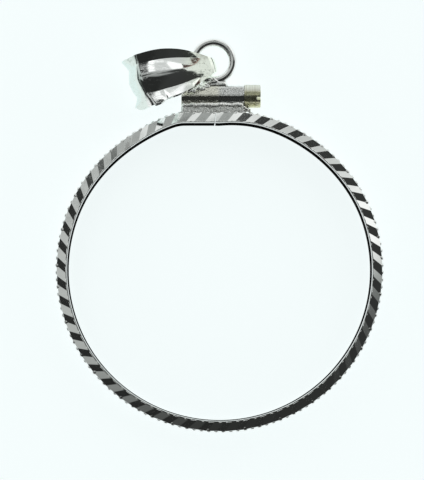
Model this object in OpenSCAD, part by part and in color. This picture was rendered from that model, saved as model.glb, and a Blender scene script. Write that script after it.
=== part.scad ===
// Coin bezel pendant frame: a split channel ring, closed by a barrel and a screw, with a bail.
// It lies on its back. The origin is the centre of the coin's seat, +Z is the ring's axis,
// and +Y points to the barrel and the bail.

/* [Bezel ring] */
// Radius over the crests of the reeded edge
ring_r = 20; // [19:0.1:21]
// Height of the ring from back to front
ring_h = 3.4; // [3.2:0.1:4]
// Radius of the channel that holds the coin's rim
channel_r = 19.15; // [18.8:0.05:19.3]
// Width of the channel, from lip to lip
channel_w = 2.44; // [2:0.02:2.5]
// Radius of the opening inside the lips
lip_r = 18.65; // [18.2:0.05:18.7]
// Number of slanted facet pairs round the front
facet_count = 54; // [40:1:60]
// Depth of the valley between two facets
facet_d = 0.27; // [0.1:0.01:0.3]
// Angle between a valley and the radius, seen from the front
facet_slant = 33; // [15:1:40]
// Number of flutes round the edge
reed_count = 140; // [100:1:160]
// Depth of a flute
reed_d = 0.13; // [0.05:0.01:0.15]

/* [Ends and split] */
// Nominal angle at which the left end leaves the circle
left_leave = 108; // [104:0.5:112]
// Radius of the bend before the straight left end
left_bend_r = 6; // [4:0.5:8]
// Nominal angle at which the right end leaves the circle
right_leave = 45; // [40:1:50]
// Radius of the right end's flatter curve
right_end_r = 17.85; // [17.6:0.05:18]
// Width of the split
split_w = 0.14; // [0.1:0.01:0.3]
// Flattening of the ring's lower half
lower_flat = 0.992; // [0.99:0.001:1]

/* [Barrel and screw] */
// Radius of the barrel
barrel_r = 1.335; // [1.2:0.005:1.4]
// Height of the barrel's axis over the coin's centre
barrel_y = 21.32; // [21.2:0.01:21.4]
// Left end of the barrel
barrel_left = -4.69; // [-5:0.01:-4.5]
// Right end of the barrel
barrel_right = 3.01; // [2.9:0.01:3.3]
// Radius of the screw's head
head_r = 1.43; // [1.3:0.01:1.45]
// Length of the screw's head
head_len = 2; // [1.5:0.1:2.2]
// Radius of the screw's shank
shank_r = 0.72; // [0.6:0.01:0.74]
// Gap between the shank and the barrel's bore
shank_gap = 0.03; // [0.02:0.01:0.08]
// Length of the shank
shank_len = 6.4; // [6:0.1:6.6]

/* [Jump ring] */
// Distance from the coin's centre to the jump ring's centre, sideways
jump_x = -0.84; // [-0.9:0.01:-0.7]
// Distance from the coin's centre to the jump ring's centre, upwards
jump_y = 25.52; // [25.5:0.01:25.6]
// Radius of the wire's centre line
jump_r = 2.26; // [2.2:0.01:2.3]
// Radius of the wire
wire_r = 0.51; // [0.48:0.01:0.52]

/* [Bail] */
// Length of the bail from tip to fold
bail_len = 10.9; // [10:0.1:12]
// Thickness of its band
bail_th = 0.42; // [0.35:0.01:0.45]
// Radius of the fold, at the creases
fold_r = 1.95; // [1.8:0.05:2]
// Radius of the tip, at the creases
tip_r = 1.02; // [1:0.01:1.1]
// Height of the dome between the creases
dome_h = 0.25; // [0.15:0.01:0.3]
// Height of the flared flanges at their edges
flare_h = 0.42; // [0.2:0.01:0.45]
// Direction of the bail as it lies, below the horizontal
bail_droop = 13.6; // [12:0.1:15]
// Bulge of the leaves between the tip and the fold
leaf_bulge = 0.25; // [0:0.05:0.3]
// Rise of the bail from its tip to its fold
bail_pitch = 8; // [7.6:0.1:9]
// Tilt of the bail about its own length
bail_roll = 4.6; // [3:0.1:6]

/* [Hidden] */
$fn = 96;
eps = 0.01;

half_h = ring_h / 2;
strip = 0.2;          // plain strip inside the facets
brow_r = ring_r - 0.15;   // outer edge of the facet band
brow_drop = 0.32;     // how far the facet band falls on its way out
reed_half = 1.0;      // half the height of the reeded band
reed_bevel = 0.1;
back_bevel = 0.3;
left_shift = ring_r - left_bend_r;
right_shift = ring_r - right_end_r;

// The split's middle line: across the ring it is nearly upright, and it leans over in the barrel
SPLIT = [[-0.84, 15.65], [-0.40, 19.37], [1.13, 23.1]];
split_x = -0.41;      // place of the split on the ring's outer edge
bore_r = shank_r + shank_gap;
bore_left = barrel_left + 1;
head_gap = 0.03;

slot_w = 0.36;
slot_d = 0.5;
slot_turn = 18;
thread_pitch = 0.4;
thread_d = 0.1;
thread_turns = 8;

// Solder under the jump ring, clear of the barrel's bore
mound_left = -1.35;
mound_right = 0.72;
mound_lift = 0.1;     // height of its axis over the barrel
mound_r = 0.55;
blob_r = 0.65;

// Solder lumps: place along the barrel, height over the coin's centre, depth and radius
LUMPS = [
    [-4.0, 20.10, 0.55, 0.42], [-2.7, 20.05, 0.62, 0.40], [-1.6, 20.12, 0.60, 0.45],
    [0.9, 20.08, 0.58, 0.42], [2.2, 20.06, 0.64, 0.42],
    [-3.7, 22.25, 0.35, 0.48], [-2.8, 22.42, 0.30, 0.46]
];

// Outline of the bail's leaves: distance from the tip, half width in front and half width behind
BAIL_WIDTHS = [
    [0, 0.68, 0.68], [0.85, 1.16, 1.10], [1.9, 1.70, 1.40], [3.1, 2.24, 1.35], [4.2, 2.61, 1.25],
    [5.3, 2.88, 1.35], [6.4, 3.06, 1.70], [7.7, 3.10, 2.35], [9, 3.05, 2.85], [bail_len, 2.92, 2.92]
];
// Places across the band, as shares of its half width, with the dome's and the flange's share of rise
BAIL_ACROSS = [
    [-1, 0, 1], [-0.61, 0, 0], [-0.32, 0.75, 0], [0, 1, 0], [0.32, 0.75, 0], [0.61, 0, 0], [1, 0, 1]
];
rim_lean = 0.15;      // how far the rim's inner edge stands out past its outer edge
full_half_w = 3;
tip_steps = 8;
fold_steps = 12;
leaf_steps = 6;

// Bezel ring

// Centres that the two bent ends turn round
left_centre = left_shift * [cos(left_leave), sin(left_leave)];
right_centre = right_shift * [cos(right_leave), sin(right_leave)];
left_bend_start = left_leave - (left_leave - 90) * left_bend_r / ring_r;
// Nominal angle at which the two ends meet
right_turn = acos((split_x - right_centre[0]) / right_end_r);
nominal_split = right_leave + (right_turn - right_leave) * right_end_r / ring_r;

function round_point(centre, shift, angle, r, z) =
    [centre[0] + (r - shift) * cos(angle), centre[1] + (r - shift) * sin(angle), z];

// A point of the bent ring, from its angle, radius and height on a round one
function ring_point(angle, r, z) =
    angle > right_leave && angle <= nominal_split
        ? round_point(right_centre, right_shift,
              right_leave + (angle - right_leave) * ring_r / right_end_r, r, z)
    : angle > nominal_split && angle < left_bend_start
        ? let (share = (left_bend_start - angle) / (left_bend_start - nominal_split))
          [left_centre[0] + share * (split_x - left_centre[0]), left_centre[1] + r - left_shift, z]
    : angle >= left_bend_start && angle < left_leave
        ? round_point(left_centre, left_shift,
              left_leave - (left_leave - angle) * ring_r / left_bend_r, r, z)
    : [r * cos(angle), r * sin(angle) * (sin(angle) < 0 ? lower_flat : 1), z];

function full_turn(angle) = angle - 360 * floor(angle / 360);

// Facet edges: even points are valleys and odd ones ridges, leaning with the slant as they go out
facet_points = 2 * facet_count;
facet_period = 360 / facet_count;
first_valley = 6.13;      // nominal angle of the first valley, at the middle of the band
wide_share = 0.57;        // share of a pair that its wide facet takes
band_mid_r = (lip_r + brow_r) / 2;
function facet_angle(i, r) =
    first_valley + facet_period * (floor(i / 2) + (i % 2) * wide_share)
    - (r - band_mid_r) * tan(facet_slant) / r * 180 / PI;
function facet_loop(r, z, valley) =
    [for (i = [0 : facet_points - 1])
        ring_point(full_turn(facet_angle(i, r)), r, z - (i % 2 == 0 ? valley : 0))];
function plain_loop(r, z) = facet_loop(r, z, 0);

// Three points to a reed: its valley and the two shoulders of its crest
reed_points = 3 * reed_count;
function reed_loop(z) =
    [for (i = [0 : reed_points - 1])
        ring_point(full_turn((i + 0.25 * (i % 3 == 1 ? -1 : i % 3 == 2 ? 1 : 0)) * 360 / reed_points),
            i % 3 == 0 ? ring_r - reed_d : ring_r, z)];

// Loops of points round the section: up the inside, over the facets, down the edge and along the back
LOOPS = [
    facet_loop(lip_r, half_h, facet_d * 0.5),
    facet_loop(lip_r + strip, half_h, facet_d),
    facet_loop(brow_r, half_h - brow_drop, facet_d),
    reed_loop(reed_half),
    reed_loop(-reed_half),
    plain_loop(brow_r, -reed_half - reed_bevel),
    plain_loop(brow_r - back_bevel, -half_h),
    plain_loop(lip_r, -half_h),
    plain_loop(lip_r, -channel_w / 2),
    plain_loop(channel_r, -channel_w / 2),
    plain_loop(channel_r, channel_w / 2),
    plain_loop(lip_r, channel_w / 2)
];

function loop_start(k) = k == 0 ? 0 : loop_start(k - 1) + len(LOOPS[k - 1]);
function loop_corner(k, i) =
    let (n = len(LOOPS[k])) loop_start(k) + i - n * floor(i / n);

// Faces between two loops, which may differ in count; lead is how far the first runs ahead, in turns.
// Where two edges tie, the first loop's goes first.
tie = 1e-6;
function zip(a, b, lead) =
    let (na = len(LOOPS[a]), nb = len(LOOPS[b]))
    concat(
        [for (i = [0 : na - 1])
            let (apex = ceil(((i + 0.5) / na + lead) * nb - 0.5 - tie))
            [loop_corner(a, i), loop_corner(a, i + 1), loop_corner(b, apex)]],
        [for (j = [0 : nb - 1])
            let (apex = floor(((j + 0.5) / nb - lead) * na + 0.5 + tie))
            [loop_corner(b, j + 1), loop_corner(b, j), loop_corner(a, apex)]]
    );

module channel_ring() {
    last = len(LOOPS) - 1;
    lead = facet_angle(0, brow_r) / 360;
    faces = [for (k = [0 : last])
        let (next = (k + 1) % (last + 1),
             a_reed = len(LOOPS[k]) == reed_points,
             b_reed = len(LOOPS[next]) == reed_points)
        each zip(k, next, a_reed == b_reed ? 0 : a_reed ? -lead : lead)];
    polyhedron(points = [for (loop = LOOPS) each loop], faces = faces, convexity = 8);
}

// Barrel, solder and jump ring

module split_cut() {
    half_w = split_w / 2;
    translate([0, 0, -ring_h]) linear_extrude(2 * ring_h)
        polygon(concat(
            [for (p = SPLIT) [p[0] - half_w, p[1]]],
            [for (i = [len(SPLIT) - 1 : -1 : 0]) [SPLIT[i][0] + half_w, SPLIT[i][1]]]
        ));
}

module barrel() {
    translate([barrel_left, barrel_y, 0]) rotate([0, 90, 0])
        cylinder(r = barrel_r, h = barrel_right - barrel_left);
}

// Web of solder between the ring's flat top and the barrel
module solder_web() {
    web_left = barrel_left + 0.12;
    web_right = barrel_right - 0.08;
    translate([web_left, 0, 0]) rotate([90, 0, 90]) linear_extrude(web_right - web_left)
        polygon([[18.9, -1.05], [19.6, -1.0], [20.5, -0.85], [20.5, 0.85], [19.6, 1.0], [18.9, 1.05]]);
}

module solder_lumps() {
    for (lump = LUMPS)
        translate([lump[0], lump[1], lump[2]]) sphere(r = lump[3], $fn = 32);
}

module jump_ring() {
    translate([jump_x, jump_y, 0]) rotate_extrude() translate([jump_r, 0]) circle(r = wire_r, $fn = 48);
}

// Solder under the jump ring: a short round bar along the barrel, with a blob at its left end
module solder_mound() {
    mound_y = barrel_y + barrel_r + mound_lift;
    translate([mound_left, mound_y, 0]) rotate([0, 90, 0])
        cylinder(r = mound_r, h = mound_right - mound_left);
    translate([mound_left, mound_y, 0]) sphere(r = blob_r, $fn = 32);
}

module bezel_frame() {
    color("silver")
    difference() {
        union() {
            channel_ring();
            barrel();
            solder_web();
            solder_lumps();
            solder_mound();
            jump_ring();
        }
        split_cut();
        translate([bore_left, barrel_y, 0]) rotate([0, 90, 0])
            cylinder(r = bore_r, h = barrel_right - bore_left + 1);
    }
}

// Screw

module screw() {
    head_left = barrel_right + head_gap;
    shank_left = head_left - shank_len;
    color("khaki")
    translate([0, barrel_y, 0])
    difference() {
        union() {
            translate([head_left, 0, 0]) rotate([0, 90, 0]) cylinder(r = head_r, h = head_len);
            translate([shank_left, 0, 0]) rotate([0, 90, 0])
                cylinder(r = shank_r, h = shank_len + eps);
        }
        translate([head_left + head_len, 0, 0]) rotate([slot_turn, 0, 0])
            cube([2 * slot_d, slot_w, 4 * head_r], center = true);
        for (turn = [0 : thread_turns - 1])
            translate([shank_left + thread_pitch * (turn + 0.75), 0, 0]) rotate([0, 90, 0])
                rotate_extrude(convexity = 4)
                    polygon([
                        [shank_r - thread_d, 0],
                        [shank_r + eps, -thread_pitch * 0.35],
                        [shank_r + eps, thread_pitch * 0.35]
                    ]);
    }
}

// Bail

// The loop seen from the side is two circles and two straight leaves between them
tip_t = tip_r;
fold_t = bail_len - fold_r;
leaf_angle = asin((fold_r - tip_r) / (fold_t - tip_t));
front_angle = 90 + leaf_angle;

// One station on the loop: distance from the tip, height, angle of the outward normal, side
function on_tip(a) = [tip_t + tip_r * cos(a), tip_r * sin(a), a, sin(a)];
function on_fold(a) = [fold_t + fold_r * cos(a), fold_r * sin(a), a, sin(a)];
function between(p, q, f) =
    let (bulge = leaf_bulge * 4 * f * (1 - f))
    [p[0] + (q[0] - p[0]) * f + bulge * cos(p[2]), p[1] + (q[1] - p[1]) * f + bulge * sin(p[2]), p[2], p[3]];

STATIONS = concat(
    [for (i = [0 : tip_steps - 1]) on_tip(360 - front_angle - i * (360 - 2 * front_angle) / tip_steps)],
    [for (i = [0 : leaf_steps - 1]) between(on_tip(front_angle), on_fold(front_angle), i / leaf_steps)],
    [for (i = [0 : fold_steps - 1]) on_fold(front_angle - i * 2 * front_angle / fold_steps)],
    [for (i = [0 : leaf_steps - 1]) between(on_fold(-front_angle), on_tip(-front_angle), i / leaf_steps)]
);

function half_width(t, side) =
    let (front = lookup(t, [for (row = BAIL_WIDTHS) [row[0], row[1]]]),
         back = lookup(t, [for (row = BAIL_WIDTHS) [row[0], row[2]]]),
         share = (1 + max(-1, min(1, side * 1.5))) / 2)
    back + (front - back) * share;

// A point of the band: station, place across it and depth under its outer face
function band_point(s, place, depth) =
    let (half_w = half_width(s[0], s[3]),
         size = half_w / full_half_w,
         rise = (place[1] * dome_h + place[2] * flare_h) * size - depth)
    [s[0] + rise * cos(s[2]), place[0] * half_w + place[2] * sign(place[0] * depth) * rim_lean,
     s[1] + rise * sin(s[2])];

across_count = len(BAIL_ACROSS);
section_count = 2 * across_count;
bail_points = [
    for (s = STATIONS) each concat(
        [for (place = BAIL_ACROSS) band_point(s, place, 0)],
        [for (i = [across_count - 1 : -1 : 0]) band_point(s, BAIL_ACROSS[i], bail_th)]
    )
];
station_count = len(STATIONS);
function corner(i, j) = (i % station_count) * section_count + j % section_count;
bail_faces = [
    for (i = [0 : station_count - 1], j = [0 : section_count - 1], half = [0, 1])
        half == 0
            ? [corner(i, j), corner(i, j + 1), corner(i + 1, j + 1)]
            : [corner(i, j), corner(i + 1, j + 1), corner(i + 1, j)]
];

bail_tip = [-0.51, 25.13];
wire_t = 2.44;    // where the wire crosses the bail's axis

module bail() {
    color("gainsboro")
    translate([bail_tip[0], bail_tip[1], 0]) rotate(180 + bail_droop)
        translate([wire_t, 0, 0]) rotate([bail_roll, -bail_pitch, 0]) translate([-wire_t, 0, 0])
            polyhedron(points = bail_points, faces = bail_faces, convexity = 6);
}

bezel_frame();
screw();
bail();
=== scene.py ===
import math
import random

import bpy
import numpy as np
from mathutils import Matrix, Vector


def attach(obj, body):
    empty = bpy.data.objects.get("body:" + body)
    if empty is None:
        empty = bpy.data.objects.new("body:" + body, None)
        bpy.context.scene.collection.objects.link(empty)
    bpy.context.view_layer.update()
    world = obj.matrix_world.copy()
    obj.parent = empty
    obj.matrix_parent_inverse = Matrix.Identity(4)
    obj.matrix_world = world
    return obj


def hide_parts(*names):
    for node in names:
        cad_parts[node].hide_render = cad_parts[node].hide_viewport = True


MM = 0.001
DOUBLED = 0.0005                # points nearer than this are one
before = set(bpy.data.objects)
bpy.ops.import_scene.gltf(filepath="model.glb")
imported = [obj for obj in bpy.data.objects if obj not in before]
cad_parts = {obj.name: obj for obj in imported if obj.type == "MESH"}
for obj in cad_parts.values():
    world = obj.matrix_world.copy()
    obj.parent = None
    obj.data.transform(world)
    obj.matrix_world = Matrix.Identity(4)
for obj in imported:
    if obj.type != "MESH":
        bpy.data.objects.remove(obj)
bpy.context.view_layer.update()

# Sizes in millimetres, as read from the photograph in the CAD part's frame

RING_R = 20.0
FACET_PAIRS = 54
FACET_SLANT = 40.0
WIDE_SHARE = 0.535
FIRST_VALLEY = 6.13
BAND_MID_R = 19.25
LEFT_LEAVE, LEFT_BEND_R = 108.0, 6.0
RIGHT_LEAVE, RIGHT_END_R = 45.0, 17.85
LOWER_FLAT = 0.992
# Stretches where the ring lies further in: start, deepest place and end in degrees, and depth
FLATS = [(18, 55, 82, 0.22), (100, 123, 160, 0.17)]
# How far the facets' spacing strays, in facet pairs, along the run from the first valley
SPACING = [(0, -0.10), (4, -0.12), (6, -0.14), (9, -0.11), (12.5, -0.08), (13.1, 0.15), (15, 0.14),
           (18, 0.18), (22, 0.15), (25, 0.10), (29, 0.13), (33, 0.17), (36, 0.12), (39, 0.09), (41, 0.03),
           (44, -0.05), (49, -0.08), (54, -0.10)]
# The split from inside to outside: its middle, and its widths there
SPLIT_LINE = [(-0.84, 15.65), (-0.40, 19.37), (1.13, 23.1)]
SPLIT_WIDTHS = (0.24, 0.035, 0.03)
SPLIT_X = -0.41                 # where it crosses the middle of the ring
SPLIT_DEEP = 4.0
REEDS = 140

BARREL_R, BARREL_Y = 1.335, 21.32
BARREL_LEFT, BARREL_RIGHT = -4.69, 3.01
# The barrel's upper side is worn flatter between two places across it
BARREL_FLAT = (-0.02, 0.95)
BARREL_SLOPE = (math.sqrt(BARREL_R ** 2 - BARREL_FLAT[0] ** 2)
                - math.sqrt(BARREL_R ** 2 - BARREL_FLAT[1] ** 2)) / (BARREL_FLAT[1] - BARREL_FLAT[0])
BORE_R, BORE_LEFT = 0.75, -3.69
HEAD_R, HEAD_LEFT, HEAD_RIGHT = 1.43, 3.04, 5.04
SHANK_R, SHANK_LEFT = 0.72, -3.36
SLOT_W, SLOT_D, SLOT_TURN = 0.36, 0.5, 18.0
THREAD_PITCH, THREAD_D, THREAD_LEN = 0.4, 0.1, 3.2

JUMP_X, JUMP_Y, JUMP_R, WIRE_R = -0.74, 25.64, 2.36, 0.51

BAIL_LEN, BAIL_TH, BAIL_EDGE = 10.9, 0.42, 0.2
BAIL_STEPS = 360
FOLD_R, TIP_R = 1.95, 1.02
DOME_H, DOME_FULLNESS, DOME_TOP = 0.40, 1.4, 0.07
FLARE_MIDDLE, FLARE_END, LEAF_BULGE = 0.32, 0.22, 0.25
# Next to the fold the form is drawn along the bail: place across, then at the crease and at the fold's end
FOLD_DRAW = [(-1, -0.45, 0.05), (-0.75, -0.4, -0.2), (-0.55, -0.2, -0.35), (0, -0.2, -0.35),
             (0.3, -0.3, -0.4), (0.6, -0.5, -0.5), (0.8, -0.85, -0.45), (1, -1.1, -0.3)]
FOLD_DROP, LOW_WIDER, LOW_LIFT = 1.0, 0.7, 0.1
# Along the bail: where the pressed form grows crisp, and the middle and reach of its widest flare
CRISP, FLARE_AT, FLARE_REACH = (1.6, 4.4), 5.5, 4.5
BAIL_DROOP, BAIL_PITCH, BAIL_ROLL = 13.6, 8.0, 4.6
BAIL_TIP, WIRE_T = (-0.51, 25.13), 2.44
CREASE = 0.61
# Places along the bail, with half its width in front and behind
BAIL_WIDTHS = [
    (0, 0.68, 0.68), (0.85, 1.16, 1.10), (1.9, 1.70, 1.40), (3.1, 2.24, 1.35), (4.2, 2.61, 1.25),
    (5.3, 2.88, 1.35), (6.4, 3.06, 1.70), (7.7, 3.10, 2.35), (9, 3.05, 2.85), (BAIL_LEN, 2.92, 2.92),
]


# Modelling helpers

def object_mode():
    bpy.ops.object.mode_set(mode="OBJECT")


def only(piece=None):
    """Object mode, with nothing else than the piece selected."""
    if bpy.context.object and bpy.context.object.mode != "OBJECT":
        object_mode()
    bpy.ops.object.select_all(action="DESELECT")
    if piece:
        piece.select_set(True)
        bpy.context.view_layer.objects.active = piece


def edit(piece, action="DESELECT"):
    """Edit mode, with nothing or everything selected."""
    only(piece)
    bpy.ops.object.mode_set(mode="EDIT")
    bpy.ops.mesh.select_all(action=action)


def pick_faces(piece, test):
    """Edit mode, with the faces selected whose centre and normal pass the test."""
    edit(piece)
    bpy.ops.mesh.select_mode(type="FACE")
    object_mode()
    for face in piece.data.polygons:
        face.select = test(face.center, face.normal)
    bpy.ops.object.mode_set(mode="EDIT")


def named(name):
    piece = bpy.context.object
    piece.name = name
    return piece


def primitive(name, add, **settings):
    """A new primitive from its operator, with nothing else selected."""
    only()
    add(**settings)
    return named(name)


def apply_modifier(piece, kind, **settings):
    only(piece)
    modifier = piece.modifiers.new(kind.lower(), kind)
    for key, value in settings.items():
        setattr(modifier, key, value)
    bpy.ops.object.modifier_apply(modifier=modifier.name)


def join(pieces, name):
    only(pieces[0])
    for piece in pieces:
        piece.select_set(True)
    bpy.ops.object.join()
    return named(name)


def repeat(piece, count, step, **settings):
    apply_modifier(piece, "ARRAY", count=count, use_relative_offset=False, use_constant_offset=True,
                   constant_offset_displace=(step, 0, 0), **settings)


def cut(piece, cutter):
    apply_modifier(piece, "BOOLEAN", operation="DIFFERENCE", solver="EXACT", object=cutter)


def cut_once(piece, cutter):
    cut(piece, cutter)
    bpy.data.objects.remove(cutter)


def points_of(piece):
    points = np.empty(len(piece.data.vertices) * 3)
    piece.data.vertices.foreach_get("co", points)
    return points.reshape(-1, 3)


def move_points(piece, points):
    piece.data.vertices.foreach_set("co", np.asarray(points, float).ravel())
    piece.data.update()


def close_up(piece):
    """Merges doubled points and turns all faces outwards."""
    edit(piece, "SELECT")
    bpy.ops.mesh.remove_doubles(threshold=DOUBLED)
    bpy.ops.mesh.normals_make_consistent(inside=False)
    object_mode()
    return piece


def lattice(name, columns, rows):
    """A flat grid whose columns lie at the given places, with its rows numbered from 0."""
    piece = primitive(name, bpy.ops.mesh.primitive_grid_add, size=1,
                      x_subdivisions=len(columns) - 1, y_subdivisions=rows - 1)
    points = points_of(piece)
    column = np.rint((points[:, 0] + 0.5) * (len(columns) - 1)).astype(int)
    points[:, 0] = np.array(columns)[column]
    points[:, 1] = np.rint((points[:, 1] + 0.5) * (rows - 1))
    move_points(piece, points)
    return piece


def turned(name, profile, steps, centre_y):
    """A turned body: the profile, in distances along X and radii, spun about the line y = centre_y."""
    piece = primitive(name, bpy.ops.mesh.primitive_plane_add, size=1)
    edit(piece, "SELECT")
    bpy.ops.mesh.merge(type="CENTER")
    bpy.ops.mesh.select_all(action="SELECT")
    bpy.ops.transform.translate(value=(profile[0][0], centre_y + profile[0][1], 0))
    for (x, r), (next_x, next_r) in zip(profile, profile[1:]):
        bpy.ops.mesh.extrude_vertices_move(TRANSFORM_OT_translate={"value": (next_x - x, next_r - r, 0)})
    bpy.ops.mesh.select_all(action="SELECT")
    bpy.ops.mesh.spin(steps=steps, angle=2 * math.pi, center=(0, centre_y, 0), axis=(1, 0, 0))
    return close_up(piece)


def box(name, sizes):
    """A block of the given sizes about the origin."""
    piece = primitive(name, bpy.ops.mesh.primitive_cube_add, size=1)
    edit(piece, "SELECT")
    bpy.ops.transform.resize(value=sizes, center_override=(0, 0, 0))
    object_mode()
    return piece


def smooth(piece, angle, weighted=False):
    only(piece)
    bpy.ops.object.shade_smooth_by_angle(angle=math.radians(angle))
    if weighted:
        apply_modifier(piece, "WEIGHTED_NORMAL", keep_sharp=True, weight=80)
    return piece


def bumpy(piece, size, height):
    """Raises and lowers the surface by a cloudy pattern."""
    texture = bpy.data.textures.new("cloud", "CLOUDS")
    texture.noise_scale = size
    texture.noise_depth = 2
    apply_modifier(piece, "DISPLACE", texture=texture, strength=height, mid_level=0.5,
                   texture_coords="LOCAL")


def finish_piece(piece, body, slot, cad_node, material):
    """Brings the piece from millimetres to metres, and gives it its body and material. The slot is not used.
    """
    only(piece)
    piece.data.transform(Matrix.Scale(MM, 4))
    piece.data.materials.clear()
    piece.data.materials.append(material)
    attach(piece, body)
    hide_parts(cad_node)


# Bezel ring

def from_table(table, place, column=1):
    """A column's value at a place, between the rows of a table of places."""
    return np.interp(place, [row[0] for row in table], [row[column] for row in table])


def on_arc(centre, radius, angle):
    turn = math.radians(angle)
    return centre[0] + radius * math.cos(turn), centre[1] + radius * math.sin(turn)


def polar(radius, angle):
    return on_arc((0, 0), radius, angle)


LEFT_SHIFT = RING_R - LEFT_BEND_R
RIGHT_SHIFT = RING_R - RIGHT_END_R
LEFT_CENTRE = polar(LEFT_SHIFT, LEFT_LEAVE)
RIGHT_CENTRE = polar(RIGHT_SHIFT, RIGHT_LEAVE)
LEFT_BEND_START = LEFT_LEAVE - (LEFT_LEAVE - 90) * LEFT_BEND_R / RING_R
RIGHT_TURN = math.degrees(math.acos((SPLIT_X - RIGHT_CENTRE[0]) / RIGHT_END_R))
NOMINAL_SPLIT = RIGHT_LEAVE + (RIGHT_TURN - RIGHT_LEAVE) * RIGHT_END_R / RING_R


def eased(value, low, high):
    share = min(max((value - low) / (high - low), 0), 1)
    return share * share * (3 - 2 * share)


def flat_depth(angle):
    """How far in the ring lies at an angle."""
    return max(depth * min(eased(angle, start, deepest), 1 - eased(angle, deepest, end))
               for start, deepest, end, depth in FLATS)


def ring_point(angle, r):
    """Place of a point of the bent ring, from its angle and radius on a round one."""
    angle -= 360 * math.floor(angle / 360)
    r -= flat_depth(angle)
    if RIGHT_LEAVE < angle <= NOMINAL_SPLIT:
        bend = RIGHT_LEAVE + (angle - RIGHT_LEAVE) * RING_R / RIGHT_END_R
        return on_arc(RIGHT_CENTRE, r - RIGHT_SHIFT, bend)
    if NOMINAL_SPLIT < angle < LEFT_BEND_START:
        share = (LEFT_BEND_START - angle) / (LEFT_BEND_START - NOMINAL_SPLIT)
        return LEFT_CENTRE[0] + share * (SPLIT_X - LEFT_CENTRE[0]), LEFT_CENTRE[1] + r - LEFT_SHIFT
    if LEFT_BEND_START <= angle < LEFT_LEAVE:
        bend = LEFT_LEAVE - (LEFT_LEAVE - angle) * RING_R / LEFT_BEND_R
        return on_arc(LEFT_CENTRE, r - LEFT_SHIFT, bend)
    x, y = polar(r, angle)
    return x, y * (LOWER_FLAT if y < 0 else 1)


def facet_angle(pairs, r):
    """Angle of a line that leans with the facets, at a number of facet pairs from the first valley."""
    lean = (r - BAND_MID_R) * math.tan(math.radians(FACET_SLANT)) / r
    return FIRST_VALLEY + 360 / FACET_PAIRS * (pairs + from_table(SPACING, pairs)) - math.degrees(lean)


def plain_rows(*places):
    """Rows of the section that are the same at a valley and at a ridge."""
    return [place + place for place in places]


# Section of the ring, up the inside, over the facets, down the edge and along the back:
# radius and height at a valley, then radius and height at a ridge
INSIDE = plain_rows((18.53, 1.22), (18.53, 1.58), (18.545, 1.645), (18.58, 1.685), (18.63, 1.70))
INSIDE.append((18.67, 1.68, 18.70, 1.69))
FACETS = [(18.71, 1.493, 18.76, 1.685), (19.82, 1.111, 19.76, 1.339)]
FACET_STEPS = 4
OUTSIDE = [(19.83, 1.06, 19.80, 1.28), (19.81, 1.0, 19.80, 1.15)]
OUTSIDE += plain_rows(
    (19.80, 0.93), (19.80, 0), (19.80, -0.95), (19.78, -1.15), (19.72, -1.3), (19.52, -1.62), (19.43, -1.70),
    (18.63, -1.70), (18.55, -1.67), (18.53, -1.6), (18.53, -1.22), (19.10, -1.22), (19.15, -1.17),
    (19.15, 0), (19.15, 1.17), (19.10, 1.22), (18.53, 1.22))
# Places across a facet pair, from one valley's edge to the next one's
LINE_HALF = 0.012
PAIR_COLUMNS = [LINE_HALF, 0.14, 0.27, 0.4, WIDE_SHARE - LINE_HALF, WIDE_SHARE + LINE_HALF,
                0.65, 0.77, 0.88, 1 - LINE_HALF, 1 + LINE_HALF]


def ring_section():
    """The rows of the section and, on the facets, the share of the way over them instead."""
    over = [(None, step / FACET_STEPS) for step in range(FACET_STEPS + 1)]
    return [(row, None) for row in INSIDE] + over + [(row, None) for row in OUTSIDE]


def row_end(row, ridge):
    """Radius and height of a row, at a ridge or at a valley."""
    return row[2:] if ridge else row[:2]


def on_ring(pairs, r, z):
    return np.array((*ring_point(facet_angle(pairs, r), r), z))


def facet_point(pairs, ridge, share):
    """A point of the straight line of a valley or a ridge, at a share of the way out."""
    inner, outer = [on_ring(pairs, *row_end(row, ridge)) for row in FACETS]
    return inner + (outer - inner) * share


def band_place(place, row, share):
    """A lattice point's place on the ring: flat facets between straight lines, and round elsewhere."""
    pair = math.floor(place)
    part = place - pair
    if part < WIDE_SHARE:
        low, high, step = pair, pair + WIDE_SHARE, part / WIDE_SHARE
    else:
        low, high, step = pair + WIDE_SHARE, pair + 1, (part - WIDE_SHARE) / (1 - WIDE_SHARE)
    low_ridge = part >= WIDE_SHARE
    if share is not None:
        a = facet_point(low, low_ridge, share)
        b = facet_point(high, not low_ridge, share)
        return a + (b - a) * step
    (r, z), (next_r, next_z) = row_end(row, low_ridge), row_end(row, not low_ridge)
    return on_ring(place, r + (next_r - r) * step, z + (next_z - z) * step)


def store_uv(piece, places):
    """Keeps each point's two places on the surface as a UV map."""
    layer = piece.data.uv_layers.get("UVMap") or piece.data.uv_layers.new(name="UVMap")
    corners = np.empty(len(piece.data.loops), int)
    piece.data.loops.foreach_get("vertex_index", corners)
    layer.data.foreach_set("uv", np.asarray(places, float)[corners].ravel())


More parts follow.
